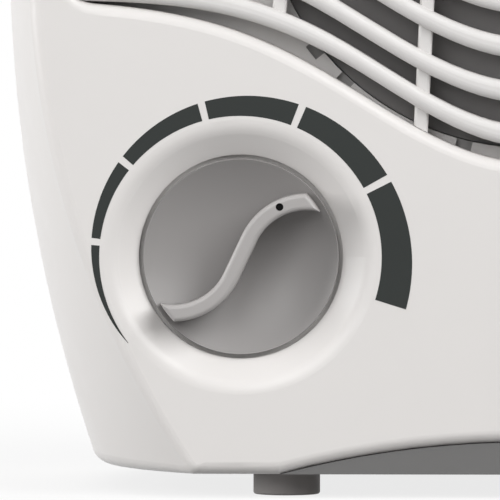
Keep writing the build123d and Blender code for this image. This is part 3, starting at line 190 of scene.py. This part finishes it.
def finish(name, colour, roughness, grain, mottle=0.02, dirt=0.25, roughness_change=0.06, metal=0.0,
           brushed=None, raised=None, **shader):
    """A moulded, cast or brushed surface.

    Its colour drifts a little over a few centimetres, dust and painted shade darken its inner
    corners, its gloss varies as skin oil and handling leave it, and a fine grain of the given size
    and depth lies over it all. brushed gives the direction in which the grain is drawn out.
    raised gives a depth, and how much lighter the surface in front of it is painted,
    as painted light.
    """
    grain_size, grain_depth = grain
    material = bpy.data.materials.new(name)
    material.use_nodes = True
    nodes = Nodes(material.node_tree)
    where = nodes.add("ShaderNodeTexCoord").outputs["Object"]
    grain_where = where
    if brushed:
        grain_where = nodes.add("ShaderNodeMapping", Vector=where, Scale=brushed).outputs["Vector"]
    drift = nodes.noise(where, DRIFT_SIZE)
    tone = nodes.blend(drift, shade(colour, 1 - mottle), shade(colour, 1 + mottle))
    # painted light: what stands in front of the depth is painted lighter, a lit copy of the colour
    if raised:
        depth, lighter = raised
        ahead = nodes.add("ShaderNodeSeparateXYZ", Vector=where).outputs["Y"]
        front = nodes.spread(ahead, 1.0, 0.0, depth - PAINTED_LIGHT_BLEND, depth + PAINTED_LIGHT_BLEND)
        tone = nodes.blend(front, tone, shade(colour, lighter))
    # painted shade and dust: inner corners that ambient occlusion finds are darkened, in patches
    openness = nodes.add("ShaderNodeAmbientOcclusion", {"samples": CORNER_SAMPLES},
                         Distance=DUST_AND_SHADE_REACH).outputs["AO"]
    dust_and_shade = nodes.math("MULTIPLY", nodes.spread(openness, dirt, 0.0, DUSTY_AND_SHADED, CLEAN_AND_UNSHADED),
                      nodes.spread(nodes.noise(where, DUST_AND_SHADE_SIZE), DUST_AND_SHADE_THIN, 1.0))
    tone = nodes.blend(dust_and_shade, tone, shade(colour, DUST_AND_SHADE_BRIGHTNESS))
    smear = nodes.noise(where, SMEAR_SIZE, detail=5.0)
    gloss = nodes.spread(smear, roughness - roughness_change, roughness + roughness_change)
    height = nodes.noise(grain_where, grain_size, detail=2.0)
    bump = nodes.add("ShaderNodeBump", Height=height, Distance=grain_depth, Strength=1.0)
    principled = nodes.add("ShaderNodeBsdfPrincipled", Base_Color=tone, Roughness=gloss,
                           Metallic=metal, Normal=bump.outputs["Normal"], **shader)
    nodes.show("ShaderNodeOutputMaterial", principled.outputs[0])
    return material


WHITE = (0.752, 0.729, 0.712)
GRILLE = (0.715, 0.698, 0.685)
BRUSHED_X = (0.04, 1.0, 1.0)
BRUSHED_Y = (1.0, 0.04, 1.0)
LAMINATED = (0.02, 1.0, 0.02)  # the edges of sheets that are stacked along Y
WOUND = (0.03, 1.0, 1.0)       # turns of wire that run along X
FINISHES = {                   # grain: its size and its depth, in metres
    "housing_white": dict(colour=WHITE, roughness=0.34, grain=(0.0007, 2e-6), mottle=0.008,
                          dirt=0.2),
    "grille_white": dict(colour=GRILLE, roughness=0.36, grain=(0.0007, 2e-6), mottle=0.008,
                         dirt=0.15),
    "baffle_grey": dict(colour=(0.75, 0.735, 0.725), roughness=0.5, grain=(0.0005, 4e-6),
                        mottle=0.03),
    # painted light and shade: the knob is as dark as its shaded bowl, and its grip in front of the
    # housing is painted lighter
    "knob_grey": dict(colour=(0.296, 0.284, 0.279), roughness=0.38, grain=(0.0006, 2e-6),
                      mottle=0.015, dirt=0.2, raised=(FRONT_Y - MM, 1.34)),
    "duct_grey": dict(colour=(0.40, 0.392, 0.386), roughness=0.5, grain=(0.0005, 4e-6),
                      mottle=0.05),
    "frame_dark": dict(colour=(0.23, 0.222, 0.22), roughness=0.6, grain=(0.0005, 5e-6),
                       mottle=0.08, dirt=0.3),
    "trim_grey": dict(colour=(0.14, 0.138, 0.136), roughness=0.45, grain=(0.0006, 3e-6),
                      mottle=0.03),
    "duct_black": dict(colour=(0.045, 0.043, 0.042), roughness=0.55, grain=(0.0005, 6e-6),
                       mottle=0.1),
    "fan_black": dict(colour=(0.045, 0.045, 0.045), roughness=0.42, grain=(0.0006, 3e-6),
                      mottle=0.1, dirt=0.4),
    "foot_rubber": dict(colour=(0.34, 0.32, 0.313), roughness=0.62, grain=(0.0004, 1.2e-5),
                        mottle=0.08),
    "bush_rubber": dict(colour=(0.05, 0.05, 0.05), roughness=0.6, grain=(0.0004, 1.2e-5),
                        mottle=0.08),
    "heating_ceramic": dict(colour=(0.16, 0.15, 0.14), roughness=0.8, grain=(0.0004, 2e-5),
                            mottle=0.15),
    "fin_aluminium": dict(colour=(0.10, 0.10, 0.10), roughness=0.45, grain=(0.0004, 4e-6),
                          mottle=0.1, metal=0.6),
    "steel_plate": dict(colour=(0.55, 0.55, 0.56), roughness=0.34, grain=(0.0005, 4e-6),
                        mottle=0.06, metal=1.0, brushed=BRUSHED_X, roughness_change=0.1),
    "steel_dark": dict(colour=(0.2, 0.2, 0.21), roughness=0.45, grain=(0.0005, 1.2e-5),
                       mottle=0.15, metal=1.0, brushed=LAMINATED),
    "screw_steel": dict(colour=(0.5, 0.5, 0.51), roughness=0.3, grain=(0.0004, 3e-6), mottle=0.06,
                        metal=1.0, brushed=BRUSHED_Y),
    "brass_part": dict(colour=(0.7, 0.5, 0.22), roughness=0.3, grain=(0.0004, 4e-6), mottle=0.06,
                       metal=1.0, brushed=BRUSHED_Y),
    "copper_wire": dict(colour=(0.42, 0.15, 0.05), roughness=0.35, grain=(0.00045, 6e-5),
                        mottle=0.1, metal=0.7, brushed=WOUND),
    "lens_amber": dict(colour=(0.8, 0.26, 0.04), roughness=0.16, grain=(0.001, 2e-6), mottle=0.03,
                       Transmission_Weight=0.75, IOR=1.49),
    "lamp_glass": dict(colour=(0.9, 0.86, 0.8), roughness=0.08, grain=(0.002, 2e-6),
                       Transmission_Weight=0.9, IOR=1.5),
    "print_ink": dict(colour=(0.022, 0.0255, 0.024), roughness=0.5, grain=(0.0004, 2e-6),
                      mottle=0.05, dirt=0.0, Specular_IOR_Level=0.25),
    "dot_paint": dict(colour=(0.003, 0.003, 0.003), roughness=0.6, grain=(0.0004, 2e-6),
                      mottle=0.05, dirt=0.0, Specular_IOR_Level=0.1),
}
MATERIALS = {name: finish(name, **settings) for name, settings in FINISHES.items()}


def dress_cad_nodes():
    """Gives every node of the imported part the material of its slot."""
    for part in frame["record"]["subparts"]:
        mesh = frame["nodes"][part["node"]].data
        mesh.materials.clear()
        mesh.materials.append(MATERIALS[part["material_slot"]])


# ---- print on the housing ----------------------------------------------------------------------
INK = 0.04 * MM                # the print stands this far out
SCALE_START, SCALE_END = 217.5, -17.5       # degrees from +X, seen from the front
SCALE_RADIUS = 29.4 * MM       # inner edge
SCALE_WIDTH = 6.7 * MM         # at the wide end
SCALE_TAPER = 0.78             # 1 would widen evenly, and less widens sooner
SCALE_GAPS = (174.0, 140.75, 104.25, 67.75, 28.0)
SCALE_GAP = 1.35               # half of a gap, in degrees
SCALE_TIP = 0.1 * MM           # width at the narrow end
SCALE_STEP = 2                 # degrees between two rows of points
SCALE_ROWS = 6                 # at least this many steps in a segment
SCALE_COLUMNS = 4              # steps across the band
PROBE = Vector((0, 0.05, 0))   # the surface is looked for from this far in front of the heater


def shell_surface():
    """What finds the front face in front of a point."""
    shell = frame["nodes"]["front_shell"].data
    points = [vertex.co for vertex in shell.vertices]
    return BVHTree.FromPolygons(points, [face.vertices for face in shell.polygons])


SURFACE = shell_surface()


def placed(name, made, material):
    """The object of a bmesh, in the scene."""
    mesh = bpy.data.meshes.new(name)
    made.to_mesh(mesh)
    made.free()
    mesh.materials.append(material)
    piece = bpy.data.objects.new(name, mesh)
    bpy.context.scene.collection.objects.link(piece)
    return piece


def rim(last_row, last_column):
    """The places round the outside of a grid, in order."""
    places = [(0, j) for j in range(last_column + 1)]
    places += [(i, last_column) for i in range(1, last_row + 1)]
    places += [(last_row, j) for j in range(last_column - 1, -1, -1)]
    places += [(i, 0) for i in range(last_row - 1, 0, -1)]
    return places


def printed(name, patches, body="housing"):
    """Thin closed patches of ink. Each patch is a list of rows of (x, z) points."""
    made = bmesh.new()
    for rows in patches:
        front, back = [], []
        for row in rows:
            hits = [SURFACE.ray_cast(Vector((x, FRONT_Y, z)) - PROBE, PROBE)[0] for x, z in row]
            front.append([made.verts.new(hit - Vector((0, INK, 0))) for hit in hits])
            back.append([made.verts.new(hit + Vector((0, INK / 2, 0))) for hit in hits])
        last_row, last_column = len(rows) - 1, len(rows[0]) - 1
        for i in range(last_row):
            for j in range(last_column):
                made.faces.new((front[i][j], front[i][j + 1], front[i + 1][j + 1], front[i + 1][j]))
                made.faces.new((back[i][j], back[i + 1][j], back[i + 1][j + 1], back[i][j + 1]))
        ring = rim(last_row, last_column)
        for (i, j), (k, m) in zip(ring, ring[1:] + ring[:1]):
            made.faces.new((front[i][j], back[i][j], back[k][m], front[k][m]))
    bmesh.ops.recalc_face_normals(made, faces=made.faces)
    piece = placed(name, made, MATERIALS["print_ink"])
    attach(piece, body)


def on_circle(centre, radius, angle):
    """The (x, z) at an angle on a circle round a point."""
    return (centre.x + radius * cos(radians(angle)), centre.z + radius * sin(radians(angle)))


def heat_scale():
    """The scale round the thermostat: six segments of a band that widens clockwise."""
    edges = [SCALE_START]
    for gap in SCALE_GAPS:
        edges += [gap + SCALE_GAP, gap - SCALE_GAP]
    edges.append(SCALE_END)
    patches = []
    for start, end in zip(edges[::2], edges[1::2]):
        steps = max(SCALE_ROWS, round((start - end) / SCALE_STEP))
        rows = []
        for i in range(steps + 1):
            angle = start + (end - start) * i / steps
            share = (SCALE_START - angle) / (SCALE_START - SCALE_END)
            width = max(SCALE_WIDTH * share**SCALE_TAPER, SCALE_TIP)
            rows.append([on_circle(THERMOSTAT, SCALE_RADIUS + width * j / SCALE_COLUMNS, angle)
                         for j in range(SCALE_COLUMNS + 1)])
        patches.append(rows)
    printed("heat_scale", patches)


def arc_band(centre, inner, outer, start, end, steps=24):
    """Rows of points for a band round a centre."""
    angles = [start + (end - start) * i / steps for i in range(steps + 1)]
    radii = [inner, (inner + outer) / 2, outer]
    return [[on_circle(centre, radius, angle) for radius in radii] for angle in angles]


def block(centre, width, height, turn):
    """Rows of points for a turned rectangle."""
    across = Vector((cos(radians(turn)), 0, sin(radians(turn))))
    along = Vector((-across.z, 0, across.x))
    rows = []
    for side in (-0.5, 0, 0.5):
        points = [centre + across * width * side + along * height * end for end in (-0.5, 0, 0.5)]
        rows.append([(point.x, point.z) for point in points])
    return rows


MARK_RADIUS = 33.6 * MM        # from the mode knob's axis to the middle of a mark
MARK_ANGLES = {"off": 157.5, "fan": 112.5, "low": 67.5, "high": 22.5}
MARK_SIZE = 1.9 * MM           # half of a mark's height
MARK_LINE = 0.75 * MM
TICK_RADIUS = 29.4 * MM        # inner end of a tick
TICK_LENGTH = 1.0 * MM
BLADE_TURNS = (90, 210, 330)   # directions of the fan mark's blades
BLADE_SPAN = (-60, 120)        # from its direction to the start and end of a blade's half disc
BLADE_DISTANCE, BLADE_RADIUS = 0.62, 0.5     # shares of the mark's size
BLADE_HOLE = 0.05 * MM


def mode_marks():
    """The marks round the mode knob: off, fan, one bar and two bars, each with a tick."""
    places = {}
    patches = []
    for name, angle in MARK_ANGLES.items():
        x, z = on_circle(MODE, MARK_RADIUS, angle)
        places[name] = Vector((x, 0, z))
        x, z = on_circle(MODE, TICK_RADIUS + TICK_LENGTH / 2, angle)
        patches.append(block(Vector((x, 0, z)), TICK_LENGTH, MARK_LINE, angle))
    patches.append(arc_band(places["off"], MARK_SIZE - MARK_LINE, MARK_SIZE, 0, 360))
    for turn in BLADE_TURNS:
        out = Vector((cos(radians(turn)), 0, sin(radians(turn))))
        start, end = (turn + angle for angle in BLADE_SPAN)
        patches.append(arc_band(places["fan"] + out * MARK_SIZE * BLADE_DISTANCE, BLADE_HOLE,
                                MARK_SIZE * BLADE_RADIUS, start, end))
    patches.append(block(places["low"], MARK_LINE, 2 * MARK_SIZE, 0))
    for side in (-1, 1):
        shift = Vector((side * MARK_LINE, 0, 0))
        patches.append(block(places["high"] + shift, MARK_LINE, 2 * MARK_SIZE, 0))
    printed("mode_marks", patches)


# ---- floor and backdrop ------------------------------------------------------------------------
FLOOR_RADIUS = 40                      # far enough to fill the view behind the heater
FLOOR_SEGMENTS = 64
FLOOR_TONE = (0.86, 0.86, 0.86)        # as it is seen
FLOOR_BOUNCE = (0.22, 0.22, 0.22)      # as it throws light back at the heater
SHADOW_NEAR, SHADOW_FAR = 0.14, 0.36   # the floor fades to plain white between these radii
NEAR_WHITE = 0.8                       # share of plain white close to the heater


def seen_directly(nodes):
    """1 for rays from the camera, mirrored or seen through glass, and 0 for rays that light."""
    path = nodes.add("ShaderNodeLightPath")
    seen = path.outputs["Is Camera Ray"]
    for name in ("Is Glossy Ray", "Is Transmission Ray"):
        seen = nodes.math("MAXIMUM", seen, path.outputs[name])
    return seen


def floor():
    """A pale floor that is white to the eye further out, with a soft shadow near the heater."""
    material = bpy.data.materials.new("floor")
    material.use_nodes = True
    nodes = Nodes(material.node_tree)
    where = nodes.add("ShaderNodeTexCoord").outputs["Object"]
    length = nodes.add("ShaderNodeVectorMath", {"operation": "LENGTH"},
                       Vector=where).outputs["Value"]
    white = nodes.spread(length, NEAR_WHITE, 1.0, SHADOW_NEAR, SHADOW_FAR)
    seen = seen_directly(nodes)
    share = nodes.math("MULTIPLY", white, seen)
    tone = nodes.blend(seen, (*FLOOR_BOUNCE, 1), (*FLOOR_TONE, 1))
    diffuse = nodes.add("ShaderNodeBsdfDiffuse", Color=tone).outputs[0]
    emission = nodes.add("ShaderNodeEmission", Color=(1, 1, 1, 1), Strength=1.0).outputs[0]
    mix = nodes.add("ShaderNodeMixShader")
    for socket, value in zip(mix.inputs, (share, diffuse, emission)):
        nodes.feed(socket, value)
    nodes.show("ShaderNodeOutputMaterial", mix.outputs[0])

    made = bmesh.new()
    bmesh.ops.create_circle(made, cap_ends=True, segments=FLOOR_SEGMENTS, radius=FLOOR_RADIUS)
    plane = placed("floor", made, material)


LIGHT_AROUND = 0.3             # strength of the light from all round


def world():
    """Soft light from all round, as from a lit white backdrop, and white where it is seen."""
    made = bpy.data.worlds.new("studio")
    bpy.context.scene.world = made
    made.use_nodes = True
    nodes = Nodes(made.node_tree)
    strength = nodes.spread(seen_directly(nodes), LIGHT_AROUND, 1.0, 0.0, 1.0)
    background = nodes.add("ShaderNodeBackground", Color=(1, 1, 1, 1), Strength=strength)
    nodes.show("ShaderNodeOutputWorld", background.outputs[0])


# ---- pointer dots ------------------------------------------------------------------------------
DOT_ANGLES = {"thermostat": 52.0, "mode": 157.5}     # where the pointer dots rest
DOT_DISTANCE = 13.4 * MM       # from the knob's axis
DOT_RADIUS = 0.79 * MM
DOT_SEGMENTS = 32
DOT_PAINT_DEPTH = 0.58 * MM    # the paint's surface, behind the top of the grip
DOT_PAINT_THICKNESS = 0.2 * MM


def pointer_dot(control, centre):
    """Paint at the bottom of the pointer hole in a knob's grip."""
    x, z = on_circle(centre, DOT_DISTANCE, DOT_ANGLES[control])
    middle = Vector((x, 0, z))
    turns = [360 * i / DOT_SEGMENTS for i in range(DOT_SEGMENTS)]
    circle = [on_circle(middle, DOT_RADIUS, turn) for turn in turns]
    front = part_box(f"{control}_knob")[0].y + DOT_PAINT_DEPTH
    back = front + DOT_PAINT_THICKNESS
    made = bmesh.new()
    near = [made.verts.new((x, front, z)) for x, z in circle]
    far = [made.verts.new((x, back, z)) for x, z in circle]
    made.faces.new(near)
    made.faces.new(far[::-1])
    for i in range(DOT_SEGMENTS):
        made.faces.new((near[i - 1], far[i - 1], far[i], near[i]))
    piece = placed(f"{control}_dot", made, MATERIALS["dot_paint"])
    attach(piece, f"{control}_dial")


# ---- the scene ---------------------------------------------------------------------------------
dress_cad_nodes()
heat_scale()
mode_marks()
pointer_dot("thermostat", THERMOSTAT)
pointer_dot("mode", MODE)
floor()
world()
camera()
for light in LIGHTS:
    softbox(*light)
bpy.context.scene.view_settings.view_transform = "Standard"
